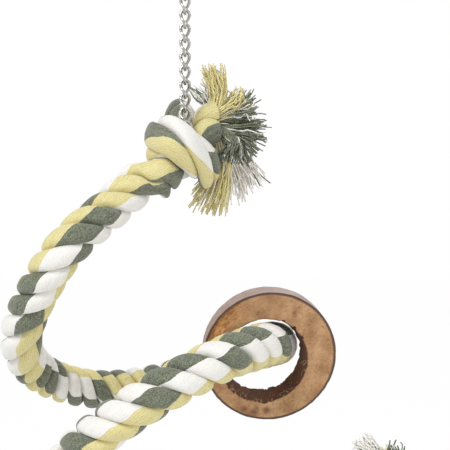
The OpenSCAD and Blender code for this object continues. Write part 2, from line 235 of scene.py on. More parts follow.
# The rope's strands
# Three strands are laid round each other. Each is spun from three bundles of yarn, white, dark
# green and pale yellow, and turned against the lay, so that a yarn runs almost along the rope.
# Where the rope presses on itself in a knot, its strands are flattened. A strand is drawn as
# rings of points, which stand a small gap apart along the finely stepped route.
RING_GAP = 0.0011
FINE_STEPS = 8
STRANDS = 3
AROUND = 48
KNOT_SWELL = 1.5
# Shallow grooves round a strand, between its yarns, and their depth in shares of the radius
GROOVES = 9
GROOVE_DEPTH = 0.016
# A pressed strand's outline, in shares of the rope's radius: where its middle lies, how far it
# reaches towards and across the rope's axis, and the half angle of the rope that it may fill
STRAND_MIDDLE = 0.54
STRAND_DEEP = 0.46
STRAND_BROAD = 0.62
STRAND_LIMIT = math.radians(61)
# Passes of the rope press on each other when their ways are this near, if this far apart along
# it, and each then stays this far from the middle between them
PRESS_NEAR = 0.024
PRESS_APART = 0.021
PRESS_GAP = 0.0001
# Length of one full turn of a strand, at places along the rope, and how many turns the first
# strand has made at one mark
LAY_PLACES = (0.098, 0.112, 0.19, 0.21, 0.30, 0.325, 0.345, 0.42, 0.44, 0.885, 0.905)
LAYS = (0.0905, 0.04436, 0.04436, 0.0385, 0.0385, 0.060, 0.0285, 0.0285, 0.037, 0.037, 0.070)
LAY_MARK = 0.30
TURN_AT_MARK = 0.816
# How often the yarns have turned within their strand, after so many turns of the lay
LAID = (-7, -4.6, -4.1, -3.2, -1.8, -0.8, 3.9, 7.4, 9.4, 10.4, 30)
YARNS_TURNED = (-10.0, -6.0, -5.1, -2.93, -0.97, 0.84, 9.15, 15.5, 19.45, 21.25, 55)

fine = smooth_curve(route, FINE_STEPS)
fine_place = np.arange(len(fine)) / FINE_STEPS
along = np.concatenate([[0], np.cumsum(np.linalg.norm(np.diff(fine, axis=0), axis=1))])
rope_length = along[-1]
ring_count = int(rope_length / RING_GAP)
ring_along = np.linspace(0, rope_length, ring_count)
ring_place = np.interp(ring_along, along, fine_place)
ring_centre = np.stack([np.interp(ring_place, fine_place, fine[:, k]) for k in range(3)], axis=1)
ring_way = np.gradient(ring_centre, axis=0)
ring_way /= np.linalg.norm(ring_way, axis=1)[:, None]
ring_normal = np.zeros_like(ring_centre)
carried = np.array((0.0, 0.0, 1.0))
for i in range(ring_count):
    carried = flat_to(carried, ring_way[i])
    ring_normal[i] = carried
ring_side = np.cross(ring_way, ring_normal)
in_knot = knot_shares(ring_place)
ring_radius = (in_knot * KNOT_ROPE_D * KNOT_SWELL + (1 - in_knot) * ROPE_D) / 2
squeezed_centre = squeezed(ring_centre, ring_place)
ring_lay = np.interp(ring_along, LAY_PLACES, LAYS)
lay_turn = np.concatenate([[0], np.cumsum(np.diff(ring_along) / ring_lay[1:])])
lay_turn += TURN_AT_MARK - np.interp(LAY_MARK, ring_along, lay_turn)


def strand_profile(count):
    """Outline of one pressed strand: angle off its middle, distance in shares of the radius."""
    outline = []
    for k in range(count):
        a = 2 * math.pi * k / count
        x = STRAND_MIDDLE + STRAND_DEEP * math.cos(a)
        y = STRAND_BROAD * math.sin(a)
        outline.append((math.atan2(y, max(x, 0.03)), math.hypot(x, y)))
    return [(max(-STRAND_LIMIT, min(STRAND_LIMIT, turn)), dist) for turn, dist in outline]


def keep_to_own_side(points, centres, place):
    """Flattens the rope where it meets another pass of itself, half way between the two."""
    own = np.repeat(np.arange(len(centres)), points.shape[1])
    flat = points.reshape(-1, 3).copy()
    near = np.where(knot_shares(place) > 0.02)[0]
    share = np.ones(len(flat))
    for j in near[::4]:
        apart = centres[j] - centres
        dist = np.linalg.norm(apart, axis=1)
        arc = np.abs(np.arange(len(centres)) - j) * RING_GAP
        meets = (dist < PRESS_NEAR) & (arc > PRESS_APART)
        rows = np.where(meets[own])[0]
        if not len(rows):
            continue
        towards = apart[own[rows]] / dist[own[rows], None]
        reach = np.einsum("ij,ij->i", flat[rows] - centres[own[rows]], towards)
        room = dist[own[rows]] / 2 - PRESS_GAP
        over = reach > room
        share[rows[over]] = np.minimum(share[rows[over]], room[over] / reach[over])
    base = centres[own]
    return (base + (flat - base) * share[:, None]).reshape(points.shape)


def tube_mesh(name, rings, turns, places):
    """A mesh of rings of points, with a UV map of turn round the tube and place along it."""
    rows, around = rings.shape[:2]
    faces = []
    uvs = []
    for i in range(rows - 1):
        j = i + 1
        for k in range(around):
            n = (k + 1) % around
            wrap = 1.0 if n == 0 else 0.0
            faces.append((i * around + k, i * around + n, j * around + n, j * around + k))
            uvs += [(turns[i, k], places[i]), (turns[i, n] + wrap, places[i]),
                    (turns[j, n] + wrap, places[j]), (turns[j, k], places[j])]
    faces.append(tuple(range(around - 1, -1, -1)))
    faces.append(tuple((rows - 1) * around + k for k in range(around)))
    uvs += [(turns[0, k], places[0]) for k in range(around - 1, -1, -1)]
    uvs += [(turns[-1, k], places[-1]) for k in range(around)]
    mesh = bpy.data.meshes.new(name)
    mesh.from_pydata(rings.reshape(-1, 3).tolist(), [], faces)
    layer = mesh.uv_layers.new(name="lay")
    layer.data.foreach_set("uv", np.array(uvs, dtype=np.float32).ravel())
    mesh.update()
    mesh.shade_smooth()
    return mesh


def new_material(name):
    material = bpy.data.materials.new(name)
    material.use_nodes = True
    nodes = material.node_tree.nodes
    return material, nodes, material.node_tree.links, nodes["Principled BSDF"]


def give(links, socket, value):
    """Joins a node's output to a socket, or sets the socket to a plain value."""
    if isinstance(value, bpy.types.NodeSocket):
        links.new(value, socket)
    elif isinstance(value, tuple) and len(value) == 3 and socket.type == "RGBA":
        socket.default_value = (*value, 1)
    else:
        socket.default_value = value


def add_mix(nodes, links, factor, first, second, blend="MIX"):
    mix = nodes.new("ShaderNodeMix")
    mix.data_type = "RGBA"
    mix.blend_type = blend
    give(links, mix.inputs[0], factor)
    give(links, mix.inputs[6], first)
    give(links, mix.inputs[7], second)
    return mix.outputs[2]


def add_math(nodes, links, operation, *values):
    node = nodes.new("ShaderNodeMath")
    node.operation = operation
    for socket, value in zip(node.inputs, values):
        give(links, socket, value)
    return node.outputs[0]


def add_noise(nodes, links, vector, scale, detail=2.0, roughness=0.5):
    texture = nodes.new("ShaderNodeTexNoise")
    texture.inputs["Scale"].default_value = scale
    texture.inputs["Detail"].default_value = detail
    texture.inputs["Roughness"].default_value = roughness
    links.new(vector, texture.inputs["Vector"])
    return texture.outputs["Fac"]


def add_between(nodes, links, value, low, high):
    """0 below a low value, 1 above a high one, even between them."""
    span = nodes.new("ShaderNodeMapRange")
    span.inputs["From Min"].default_value = low
    span.inputs["From Max"].default_value = high
    links.new(value, span.inputs["Value"])
    return span.outputs[0]


def add_bump(nodes, links, shader, height, strength, distance):
    bump = nodes.new("ShaderNodeBump")
    bump.inputs["Strength"].default_value = strength
    bump.inputs["Distance"].default_value = distance
    links.new(height, bump.inputs["Height"])
    links.new(bump.outputs[0], shader.inputs["Normal"])


def new_group(name, ins, outs):
    group = bpy.data.node_groups.new(name, "ShaderNodeTree")
    for way, sockets in (("INPUT", ins), ("OUTPUT", outs)):
        for socket_name, kind in sockets:
            group.interface.new_socket(name=socket_name, in_out=way, socket_type=kind)
    start = group.nodes.new("NodeGroupInput")
    end = group.nodes.new("NodeGroupOutput")
    return group, start.outputs, end.inputs


def add_group(nodes, links, group, **values):
    node = nodes.new("ShaderNodeGroup")
    node.node_tree = group
    for socket_name, value in values.items():
        give(links, node.inputs[socket_name.replace("_", " ")], value)
    return node.outputs


# Cotton as colour and height: fine streaks along the yarn, and specks of paler and darker fibre
cotton, c_in, c_out = new_group(
    "cotton_fibres",
    [("Streaks", "NodeSocketVector"), ("Specks", "NodeSocketVector"), ("Pale", "NodeSocketColor"),
     ("Deep", "NodeSocketColor")],
    [("Colour", "NodeSocketColor"), ("Height", "NodeSocketFloat")],
)
cn, cl = cotton.nodes, cotton.links
streaks = add_noise(cn, cl, c_in["Streaks"], 1.0, 3, 0.6)
specks = add_noise(cn, cl, c_in["Specks"], 1700, 2, 0.6)
both = add_math(cn, cl, "MULTIPLY_ADD", specks, 0.65, add_math(cn, cl, "MULTIPLY", streaks, 0.35))
shade = add_between(cn, cl, both, 0.40, 0.60)
cl.new(add_mix(cn, cl, shade, c_in["Deep"], c_in["Pale"]), c_out["Colour"])
height = add_math(cn, cl, "MULTIPLY_ADD", streaks, 0.7, add_math(cn, cl, "MULTIPLY", specks, 0.3))
cl.new(height, c_out["Height"])

# Pale and deep colour of each yarn
WHITE = ((0.90, 0.885, 0.85), (0.82, 0.80, 0.75))
GREEN = ((0.26, 0.275, 0.205), (0.085, 0.098, 0.062))
YELLOW = ((0.83, 0.76, 0.41), (0.69, 0.60, 0.25))
# Fine yarns show as lines of painted shade on the yellow bundle, which is the least fluffy
FURROW_SHADE = (0.36, 0.31, 0.16)
FINE_YARNS = 30
STREAKS_ROUND = 44.0
STREAKS_ALONG = 6.0


def laid_cotton(name, bundle_colours):
    """Cotton of a strand whose three bundles have the given pale and deep colours."""
    material, nodes, links, shader = new_material(name)
    lay_map = nodes.new("ShaderNodeUVMap")
    lay_map.uv_map = "lay"
    split = nodes.new("ShaderNodeSeparateXYZ")
    links.new(lay_map.outputs[0], split.inputs[0])
    here = nodes.new("ShaderNodeTexCoord").outputs["Object"]
    wander = add_noise(nodes, links, here, 60, 2)
    ragged = add_noise(nodes, links, here, 900, 1)
    turn = add_math(nodes, links, "MULTIPLY_ADD", wander, 0.10, split.outputs["X"])
    turn = add_math(nodes, links, "MULTIPLY_ADD", ragged, 0.012, turn)
    sector = add_math(nodes, links, "FRACT", add_math(nodes, links, "ADD", turn, 20.0))
    stretched = nodes.new("ShaderNodeCombineXYZ")
    links.new(add_math(nodes, links, "MULTIPLY", split.outputs["X"], STREAKS_ROUND), stretched.inputs[0])
    links.new(add_math(nodes, links, "MULTIPLY", split.outputs["Y"], STREAKS_ALONG), stretched.inputs[1])
    yarn_wave = add_math(nodes, links, "MULTIPLY", turn, 2 * math.pi * FINE_YARNS)
    ridges = add_math(nodes, links, "SINE", yarn_wave)
    # Painted shade: the yellow is darkened in the furrows between the fine yarns
    furrow_shade = add_math(nodes, links, "MULTIPLY_ADD", ridges, -0.09, 0.09)
    shades = []
    for pale, deep in bundle_colours:
        fibres = add_group(
            nodes, links, cotton, Streaks=stretched.outputs[0], Specks=here, Pale=pale, Deep=deep)
        lined = add_mix(nodes, links, furrow_shade, fibres["Colour"], FURROW_SHADE)
        shades.append(lined if pale == YELLOW[0] else fibres["Colour"])
    second = add_math(nodes, links, "GREATER_THAN", sector, 1 / 3)
    third = add_math(nodes, links, "GREATER_THAN", sector, 2 / 3)
    colour = add_mix(nodes, links, second, shades[0], shades[1])
    colour = add_mix(nodes, links, third, colour, shades[2])
    links.new(colour, shader.inputs["Base Color"])
    height = add_math(nodes, links, "MULTIPLY_ADD", ridges, 0.24, fibres["Height"])
    add_bump(nodes, links, shader, height, 0.5, 0.0004)
    shader.inputs["Roughness"].default_value = 0.92
    shader.inputs["Sheen Weight"].default_value = 0.3
    shader.inputs["Sheen Roughness"].default_value = 0.5
    shader.inputs["Specular IOR Level"].default_value = 0.2
    return material


plain_lay = laid_cotton("laid_cotton", (YELLOW, WHITE, GREEN))
changed_lay = laid_cotton("laid_cotton_changed", (YELLOW, GREEN, WHITE))

profile = strand_profile(AROUND)
for strand in range(STRANDS):
    middle_angle = 2 * math.pi * (lay_turn - strand / STRANDS)
    rings = np.zeros((ring_count, AROUND, 3))
    turns = np.zeros((ring_count, AROUND))
    for k, (off, dist) in enumerate(profile):
        turns[:, k] = k / AROUND + np.interp(lay_turn - strand / STRANDS, LAID, YARNS_TURNED)
        grooved = 1 + GROOVE_DEPTH * (np.abs(np.sin(math.pi * GROOVES * turns[:, k])) - 1)
        angle = middle_angle + off
        radius = ring_radius * dist * grooved
        ring = (ring_centre + (radius * np.cos(angle))[:, None] * ring_normal
                + (radius * np.sin(angle))[:, None] * ring_side)
        rings[:, k] = squeezed(ring, ring_place)
    rings = keep_to_own_side(rings, squeezed_centre, ring_place)
    mesh = tube_mesh(f"rope_strand_{strand + 1}", rings, turns, lay_turn)
    piece = bpy.data.objects.new(mesh.name, mesh)
    bpy.context.collection.objects.link(piece)
    mesh.materials.append(changed_lay if strand == 2 else plain_lay)
    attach(piece, "perch")
    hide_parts("rope_spiral", "top_knot", "bottom_knot")

# The frayed tassels
# Past each knot the rope is unpicked into its yarns, which fan out like brushes, each colour in
# its own tufts. Every yarn is a thin, slightly crimped thread of cotton with a blunt cut end.
TASSEL_L = 0.040
BUNCH_D = 0.011
BUNCH_OFF = 0.085
BUNCH_START = 0.28
BUNCH_BEND = 0.4
YARN_R = 0.00052
YARN_STEPS = 10
# Where a yarn leaves the rope's cut end: this deep in it, and up to this far from its middle
YARN_SUNK = 0.0025
YARN_SPREAD = 0.0036
YARN_CRIMP = (0.0004, 0.0021)
YARN_LENGTH = (0.72, 1.05)
rng = random.Random(7)


def cut_way(way, pull):
    """Normal of a cut end's face in a knot that has been squeezed by a pull."""
    return unit(way / pull)


rope_start = squeezed(route[:1], np.array([0]))[0]
rope_end = squeezed(route[-1:], np.array([len(route) - 1]))[0]
start_way = cut_way(route[0] - route[1], TOP_SQUEEZE)
end_way = cut_way(route[-1] - route[-2], BOTTOM_SQUEEZE)

# Each tuft's tip in shares of the yarns' length, its thickness, how far it rises before it
# bends, how many yarns it has and how wide they fan out
TUFTS = {
    "top_tassel_white": [
        ((-0.29, 0.35, 0.5), 0.6, 0.4, 30, 0.25), ((0.4, 0.6, -0.85), 0.85, 0.4, 130, 0.34),
    ],
    "top_tassel_green": [
        ((0.52, 0.2, 0.16), 0.75, 0.4, 120, 0.62), ((0.56, 0.2, -0.22), 0.75, 0.4, 150, 0.62),
        ((0.20, -0.20, -0.50), 0.6, 0.8, 120, 0.36),
    ],
    "top_tassel_yellow": [
        ((-0.04, 0, 0.72), 0.8, 0.4, 130, 0.26), ((0.36, 0.05, 0.36), 0.7, 0.4, 90, 0.38),
        ((-0.1, -0.14, -1.12), 0.55, 0.8, 120, 0.26),
    ],
    "bottom_tassel_white": [
        ((-0.36, 0.08, 0.60), 0.85, 0.4, 140, 0.26), ((0.62, 0.16, 0.30), 0.85, 0.4, 130, 0.3),
    ],
    "bottom_tassel_green": [((-0.02, -0.5, 0.56), 0.85, 0.4, 150, 0.3)],
    "bottom_tassel_yellow": [
        ((0.56, -0.42, 0.26), 0.85, 0.4, 130, 0.3), ((-0.1, 0.62, 0.36), 0.8, 0.4, 130, 0.3),
    ],
}


def frayed_cotton(name, pale, deep, strays, stray_share):
    """Cotton of loose yarns, among which a small share of strays has another colour."""
    material, nodes, links, shader = new_material(name)
    yarn_map = nodes.new("ShaderNodeUVMap")
    yarn_map.uv_map = "yarn"
    split = nodes.new("ShaderNodeSeparateXYZ")
    links.new(yarn_map.outputs[0], split.inputs[0])
    here = nodes.new("ShaderNodeTexCoord").outputs["Object"]
    stretched = nodes.new("ShaderNodeCombineXYZ")
    links.new(add_math(nodes, links, "MULTIPLY", split.outputs["X"], 900.0), stretched.inputs[0])
    links.new(add_math(nodes, links, "MULTIPLY", split.outputs["Y"], 5.0), stretched.inputs[1])
    fibres, other = (
        add_group(nodes, links, cotton, Streaks=stretched.outputs[0], Specks=here, Pale=first, Deep=second)
        for first, second in ((pale, deep), strays))
    stray = add_math(nodes, links, "LESS_THAN", split.outputs["X"], stray_share)
    colour = add_mix(nodes, links, stray, fibres["Colour"], other["Colour"])
    each = add_math(nodes, links, "FRACT", add_math(nodes, links, "MULTIPLY", split.outputs["X"], 37.0))
    shade = add_math(nodes, links, "MULTIPLY_ADD", each, 0.26, 0.86)
    # Painted shade: each yarn darkens towards its root, inside the dense tuft
    root_shade = add_between(nodes, links, split.outputs["Y"], -0.80, 0.30)
    shade = add_math(nodes, links, "MULTIPLY", shade, root_shade)
    grey = nodes.new("ShaderNodeCombineColor")
    for socket in grey.inputs:
        links.new(shade, socket)
    links.new(add_mix(nodes, links, 1.0, colour, grey.outputs[0], "MULTIPLY"), shader.inputs["Base Color"])
    add_bump(nodes, links, shader, fibres["Height"], 0.4, 0.0002)
    shader.inputs["Roughness"].default_value = 0.95
    shader.inputs["Sheen Weight"].default_value = 0.25
    shader.inputs["Specular IOR Level"].default_value = 0.2
    return material


yarn_finish = {
    "white": frayed_cotton("frayed_white", (0.97, 0.95, 0.90), (0.90, 0.87, 0.80), GREEN, 0.08),
    "green": frayed_cotton("frayed_green", (0.31, 0.33, 0.235), (0.10, 0.115, 0.07), WHITE, 0.09),
    "yellow": frayed_cotton("frayed_yellow", (0.90, 0.82, 0.44), (0.74, 0.64, 0.27), WHITE, 0.10),
}


def one_yarn(start, middle, tip, thickness):
    """Rings of three points along one crimped yarn."""
    sway = Vector([rng.uniform(-1, 1) for _ in range(3)]).normalized()
    beat = rng.uniform(1.2, 2.6)
    phase = rng.uniform(0, 2 * math.pi)
    size = rng.uniform(*YARN_CRIMP)
    points = []
    for j in range(YARN_STEPS + 1):
        s = j / YARN_STEPS
        bend = (1 - s) ** 2 * start + 2 * s * (1 - s) * middle + s * s * tip
        crimp = size * s * math.sin(phase + 2 * math.pi * beat * s)
        points.append(bend + crimp * np.array(sway))
    points = np.array(points)
    way = np.gradient(points, axis=0)
    way /= np.linalg.norm(way, axis=1)[:, None]
    across = np.cross(way, np.array(sway.orthogonal()))
    across /= np.linalg.norm(across, axis=1)[:, None]
    other = np.cross(way, across)
    girth = thickness * np.linspace(1, 0.72, YARN_STEPS + 1)[:, None]
    return np.stack([
        points + girth * (math.cos(a) * across + math.sin(a) * other)
        for a in (0, 2 * math.pi / 3, 4 * math.pi / 3)
    ], axis=1)


def tuft_mesh(name, yarns):
    """All yarns of a tuft in one mesh, its UV map holding each yarn's number and its length."""
    size = 3 * (YARN_STEPS + 1)
    faces = []
    uvs = []
    for n in range(len(yarns)):
        base = n * size
        mark = rng.random()
        for j in range(YARN_STEPS):
            for k in range(3):
                a = base + 3 * j + k
                b = base + 3 * j + (k + 1) % 3
                faces.append((a, b, b + 3, a + 3))
                uvs += [(mark, j / YARN_STEPS)] * 2 + [(mark, (j + 1) / YARN_STEPS)] * 2
        faces.append((base + 2, base + 1, base))
        faces.append((base + size - 3, base + size - 2, base + size - 1))
        uvs += [(mark, 0.0)] * 3 + [(mark, 1.0)] * 3
    mesh = bpy.data.meshes.new(name)
    mesh.from_pydata(np.array(yarns).reshape(-1, 3).tolist(), [], faces)
    layer = mesh.uv_layers.new(name="yarn")
    layer.data.foreach_set("uv", np.array(uvs, dtype=np.float32).ravel())
    mesh.update()
    mesh.shade_smooth()
    return mesh


for node, tufts in TUFTS.items():
    end, way = (rope_start, start_way) if node.startswith("top") else (rope_end, end_way)
    yarns = []
    for tip_share, thickness, rise, count, fan in tufts:
        root = end + KNOT_ROPE_D * (BUNCH_OFF * way + BUNCH_START * flat_to(tip_share, way))
        tip = end + TASSEL_L * np.array(tip_share)
        middle = root + BUNCH_BEND * (tip - root) + BUNCH_D * rise * way
        length = np.linalg.norm(tip - root)
        first = np.array(Vector(tip - root).orthogonal().normalized())
        second = np.cross(unit(tip - root), first)
        for _ in range(count):
            a = rng.uniform(0, 2 * math.pi)
            q = math.sqrt(rng.random())
            off = q * (math.cos(a) * first + math.sin(a) * second)
            yarn_root = root - YARN_SUNK * way + YARN_SPREAD * off
            yarn_middle = middle + BUNCH_D * thickness * 0.5 * off
            yarn_tip = tip + fan * length * off
            yarn_tip = yarn_root + rng.uniform(*YARN_LENGTH) * (yarn_tip - yarn_root)
            yarns.append(one_yarn(yarn_root, yarn_middle, yarn_tip, YARN_R * rng.uniform(0.8, 1.15)))
    colour = node.rsplit("_", 1)[1]
    mesh = tuft_mesh(node + "_yarns", yarns)
    piece = bpy.data.objects.new(mesh.name, mesh)
    bpy.context.collection.objects.link(piece)
    mesh.materials.append(yarn_finish[colour])
    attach(piece, "perch")
    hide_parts(node)

# The chain
# Thirteen welded links of nickel-plated steel wire, each twisted a quarter turn, so that they
# lie flat in each other. A link is a ring drawn out to an oval and then twisted.
LINK_PITCH = 0.007
LINK_WIRE = 0.0017
LINK_R = 0.00215
LINK_HALF = 0.004425
FIRST_LINK_Z = -0.027425
LINK_COUNT = 13
LINK_CUTS = 9


def steel_finish(name, colour, roughness):
    """Plated steel: small marks in its gloss, and random darker clouds of painted shade."""
    material, nodes, links, shader = new_material(name)
    here = nodes.new("ShaderNodeTexCoord").outputs["Object"]
    marks = add_noise(nodes, links, here, 1400, 3, 0.6)
    cloud = add_noise(nodes, links, here, 240, 2)
    # Painted shade: random darker clouds of the colour stand in for shaded hollows
    painted_shade = tuple(0.72 * c for c in colour)
    links.new(add_mix(nodes, links, add_between(nodes, links, cloud, 0.35, 0.65), painted_shade, colour),
              shader.inputs["Base Color"])
    links.new(add_math(nodes, links, "MULTIPLY_ADD", marks, 0.22, roughness), shader.inputs["Roughness"])
    add_bump(nodes, links, shader, marks, 0.15, 0.0001)
    shader.inputs["Metallic"].default_value = 1.0
    return material


bright_steel = steel_finish("nickel_steel", (0.50, 0.49, 0.46), 0.06)
link_straight = LINK_HALF - LINK_R
link_top = LINK_HALF + LINK_WIRE / 2
bpy.ops.mesh.primitive_torus_add(
    major_segments=40, minor_segments=14, major_radius=LINK_R, minor_radius=LINK_WIRE / 2,
    rotation=(math.radians(90), 0, 0))
link = bpy.context.object
bpy.ops.object.transform_apply(rotation=True)
bpy.ops.object.mode_set(mode="EDIT")
bpy.ops.mesh.select_mode(type="VERT")
for way in (1, -1):
    bpy.ops.mesh.select_all(action="DESELECT")
    bpy.ops.object.mode_set(mode="OBJECT")
    for v in link.data.vertices:
        v.select = way * v.co.z > 1e-6
    bpy.ops.object.mode_set(mode="EDIT")
    bpy.ops.transform.translate(value=(0, 0, way * link_straight))
for k in range(1, LINK_CUTS + 1):
    height = link_straight * (2 * k / (LINK_CUTS + 1) - 1)
    if abs(height) > 1e-6:
        bpy.ops.mesh.select_all(action="SELECT")
        bpy.ops.mesh.bisect(plane_co=(0, 0, height), plane_no=(0, 0, 1))
bpy.ops.object.mode_set(mode="OBJECT")
twist = link.modifiers.new("quarter_twist", "SIMPLE_DEFORM")
twist.deform_method = "TWIST"
twist.deform_axis = "Z"
twist.angle = math.radians(-90)
twist.limits = ((link_top - link_straight) / (2 * link_top), (link_top + link_straight) / (2 * link_top))
bpy.ops.object.modifier_apply(modifier=twist.name)
link.rotation_euler = (0, 0, math.radians(45))
bpy.ops.object.transform_apply(rotation=True)
link.data.shade_smooth()
link.data.materials.append(bright_steel)
link_mesh = link.data
bpy.data.objects.remove(link)
for k in range(LINK_COUNT):
    node = f"link_{k + 1:02d}"
    mesh = link_mesh.copy()
    mesh.name = "twisted_" + node
    mesh.transform(Matrix.Translation((0, 0, FIRST_LINK_Z - k * LINK_PITCH)))
    piece = bpy.data.objects.new(mesh.name, mesh)
    bpy.context.collection.objects.link(piece)
    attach(piece, "perch" if k == LINK_COUNT - 1 else node)
    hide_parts(node)

# The quick link and its nut
# A bent steel rod whose gap is closed by a threaded sleeve nut, nickel-plated as the chain is.
# The core wire inside the rope is plain zinc-coated steel and shows only at the last link.
zinc_wire = steel_finish("zinc_wire", (0.45, 0.45, 0.44), 0.35)
for node, finish in (("quick_link", bright_steel), ("sleeve_nut", bright_steel), ("core_wire", zinc_wire)):
    cad[node].data.materials.clear()
    cad[node].data.materials.append(finish)

# The wooden ring
# A slice sawn from a branch, with an off-centre hole bored through and roughly broken out, so
# that its edge is splintered. Its face is sawn end grain, and the wall of the hole is dark.
RING_D = 0.064
RING_T = 0.012
HOLE_FRONT_D = 0.042
HOLE_BACK_D = 0.038
RING_CLEARANCE = 0.0004
HOLE_OFFSET = 0.0034
HOLE_WAY = (0.84, 0.54)
BARK_T = 0.0009
SLICE_TAPER = 0.0014
RING_PLACE = (knot_count + len(KNOT_EXIT) + 7) * STEPS + 2
RING_LEAN = 14
RING_YAW = 6
HOLE_SWING = math.radians(36.5)
# The rope crosses the slice aslant, which makes its cut across the hole this much wider
SLANT = 0.065
SPIN_STEPS = 240
# The hole isn't quite round. Beside the place that lies on the rope the wood is thicker, most
# of all at one angle and less up to this far from it, in degrees.
THICK_ANGLE = 118
THICK_HALF = 62
THICKER = 0.0009
# Radii of the section before it is bent to the slice's or the bark's own form
SECTION_IN = 0.02
SECTION_OUT = 0.03
# Share of the face's width, from the hole outwards, that is broken out
BROKEN = 0.10
# Places round the hole and how far each one reaches, in degrees: where the rim is most
# splintered, and where flakes are torn out of the front face
SPLINTERED = ((45, 40), (-100, 60))
TORN = (146, 34)
# A point this close to a face, in shares of half the thickness, lies on it
ON_FACE = 0.998
# A face darkens towards the bark from this share of its width on
RIM_FROM = 0.955
# Roughness of sawn wood, how deep the face falls at the broken edge, the least depth of a torn
# flake and what its streaks add, and how deep the notches of the splintered rim are
WOOD_ROUGH = 0.00012
EDGE_FALL = 0.0009
FLAKE_DEPTH = 0.0008
FLAKE_STREAKS = 0.0009
NOTCH_DEPTH = 0.0031
hole_drop = (HOLE_FRONT_D + HOLE_BACK_D) / 4 - ROPE_D / 2 - ROPE_D * SLANT - RING_CLEARANCE
hang = route[RING_PLACE] - hole_drop * np.array((math.sin(HOLE_SWING), 0, math.cos(HOLE_SWING)))
slice_place = (Matrix.Translation(hang) @ Matrix.Rotation(math.radians(RING_YAW), 4, "Z")
               @ Matrix.Rotation(math.radians(90 + RING_LEAN), 4, "X"))


def spun_section(name, cuts):
    """A ring spun from a flat section, each side of which has some cuts."""
    bpy.ops.object.select_all(action="DESELECT")
    bpy.ops.mesh.primitive_plane_add(size=1)
    ring = bpy.context.object
    ring.name = name
    bpy.ops.object.mode_set(mode="EDIT")
    bpy.ops.mesh.select_all(action="SELECT")
    bpy.ops.transform.resize(value=(SECTION_OUT - SECTION_IN, RING_T, 1))
    bpy.ops.transform.rotate(value=math.radians(90), orient_axis="X", center_override=(0, 0, 0))
    bpy.ops.transform.translate(value=((SECTION_IN + SECTION_OUT) / 2, 0, 0))
    bpy.ops.mesh.delete(type="ONLY_FACE")
    bpy.ops.mesh.select_all(action="SELECT")
    bpy.ops.mesh.subdivide(number_cuts=cuts)
    bpy.ops.mesh.select_all(action="SELECT")
    bpy.ops.mesh.spin(steps=SPIN_STEPS, angle=2 * math.pi, center=(0, 0, 0), axis=(0, 0, 1))
    bpy.ops.mesh.select_all(action="SELECT")
    bpy.ops.mesh.remove_doubles(threshold=1e-6)
    bpy.ops.mesh.normals_make_consistent(inside=False)
    bpy.ops.object.mode_set(mode="OBJECT")
    ring.data.shade_smooth()
    return ring


def section_share(point):
    """0 at the spun section's inner side, 1 at its outer side."""
    return (math.hypot(point.x, point.y) - SECTION_IN) / (SECTION_OUT - SECTION_IN)


def rough(x, y, z, scale, octaves=3):
    return noise.fractal(Vector((x, y, z)) * scale, 1.0, 2.0, octaves)


def store(mesh, places, masks):
    """Keeps each point's place in the slice's own frame, and its masks, for the materials."""
    layer = mesh.attributes.new("slice", "FLOAT_VECTOR", "POINT")
    layer.data.foreach_set("vector", places.astype(np.float32).ravel())
    for mask, values in masks.items():
        layer = mesh.attributes.new(mask, "FLOAT", "POINT")
        layer.data.foreach_set("value", values.astype(np.float32))
    mesh.update()


def near_angle(angle, middle, width):
    """1 at an angle, falling to 0 at a width from it, in degrees."""
    off = abs((angle - middle + 180) % 360 - 180)
    return max(0.0, 1 - off / width)


def between_rims(radius_share, angle, height):
    """Place in the slice's own frame, from the hole's rim at 0 to the wood's rim at 1."""
    front = height / RING_T + 0.5
    hole_r = (HOLE_BACK_D + (HOLE_FRONT_D - HOLE_BACK_D) * front) / 2
    sag = near_angle(math.degrees(angle), THICK_ANGLE, THICK_HALF)
    hole_r -= THICKER * sag * sag * (3 - 2 * sag)
    wood_r = RING_D / 2 - BARK_T - SLICE_TAPER * (1 - front) / 2
    way = np.array((math.cos(angle), math.sin(angle)))
    rim = HOLE_OFFSET * np.array(HOLE_WAY) + wood_r * way
    return (1 - radius_share) * hole_r * way + radius_share * rim


